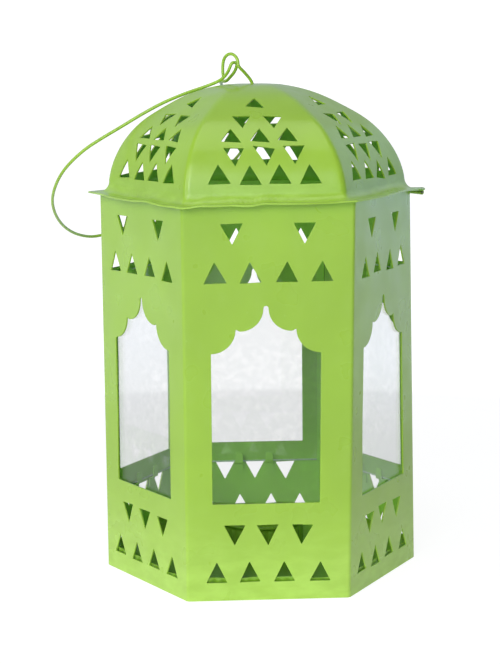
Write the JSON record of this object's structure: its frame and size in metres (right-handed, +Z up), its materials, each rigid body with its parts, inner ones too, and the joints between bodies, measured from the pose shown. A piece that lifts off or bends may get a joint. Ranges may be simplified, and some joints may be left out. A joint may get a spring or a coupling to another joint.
{
  "type": "metal tealight lantern",
  "caption": "Hexagonal punched sheet-metal lantern with glazed arched windows, a hinged dome lid and a wire carrying handle; it shelters a tealight.",
  "frame": {"origin": "centre of the hexagonal body on the plane that its bottom edge stands on", "axes": "+Z up the lantern, the front wall faces -Y, and two of the body's corners lie on the X axis"},
  "size_m": [0.1813, 0.1624, 0.2473],
  "materials": {
    "body_paint": "glossy yellow-green powder coat on folded sheet steel",
    "dome_paint": "glossy yellow-green powder coat on pressed sheet steel",
    "inner_paint": "the same powder coat, thinner and duller inside",
    "wire_paint": "green powder coat on round steel wire",
    "clear_glass": "clear polished sheet glass",
    "pin_steel": "drawn steel, lightly over-sprayed"
  },
  "bodies": {
    "body": {"front_wrap": "body_paint", "rear_wrap": "body_paint", "base_tray": "inner_paint", "tealight_cup": "inner_paint", "pane_front": "clear_glass", "pane_front_right": "clear_glass", "pane_back_right": "clear_glass", "pane_back": "clear_glass", "pane_back_left": "clear_glass", "pane_front_left": "clear_glass", "clip_front_lower_left": "inner_paint", "clip_front_lower_right": "inner_paint", "clip_front_upper_left": "inner_paint", "clip_front_upper_right": "inner_paint", "clip_front_right_lower_left": "inner_paint", "clip_front_right_lower_right": "inner_paint", "clip_front_right_upper_left": "inner_paint", "clip_front_right_upper_right": "inner_paint", "clip_back_right_lower_left": "inner_paint", "clip_back_right_lower_right": "inner_paint", "clip_back_right_upper_left": "inner_paint", "clip_back_right_upper_right": "inner_paint", "clip_back_lower_left": "inner_paint", "clip_back_lower_right": "inner_paint", "clip_back_upper_left": "inner_paint", "clip_back_upper_right": "inner_paint", "clip_back_left_lower_left": "inner_paint", "clip_back_left_lower_right": "inner_paint", "clip_back_left_upper_left": "inner_paint", "clip_back_left_upper_right": "inner_paint", "clip_front_left_lower_left": "inner_paint", "clip_front_left_lower_right": "inner_paint", "clip_front_left_upper_left": "inner_paint", "clip_front_left_upper_right": "inner_paint", "hinge_leaf": "body_paint", "hinge_pin": "pin_steel"},
    "lid": {"dome_lid": "dome_paint"},
    "hook": {"hook": "wire_paint", "hook_washer": "pin_steel"},
    "handle": {"handle": "wire_paint"}
  },
  "joints": [
    {"name": "lid_hinge", "type": "hinge", "parent": "body", "child": "lid", "pos_m": [0.06105, 0.03525, 0.1797], "axis": [-0.5, 0.866, 0], "range_deg": [0, 150]},
    {"name": "hook_swivel", "type": "hinge", "parent": "lid", "child": "hook", "pos_m": [-0.002, 0, 0.2325], "axis": [0, 0, 1], "range_deg": [-30, 30]},
    {"name": "handle_swing", "type": "hinge", "parent": "hook", "child": "handle", "pos_m": [-0.0104, -0.002, 0.2425], "axis": [0.766, 0.6428, 0], "range_deg": [0, 225]}
  ]
}
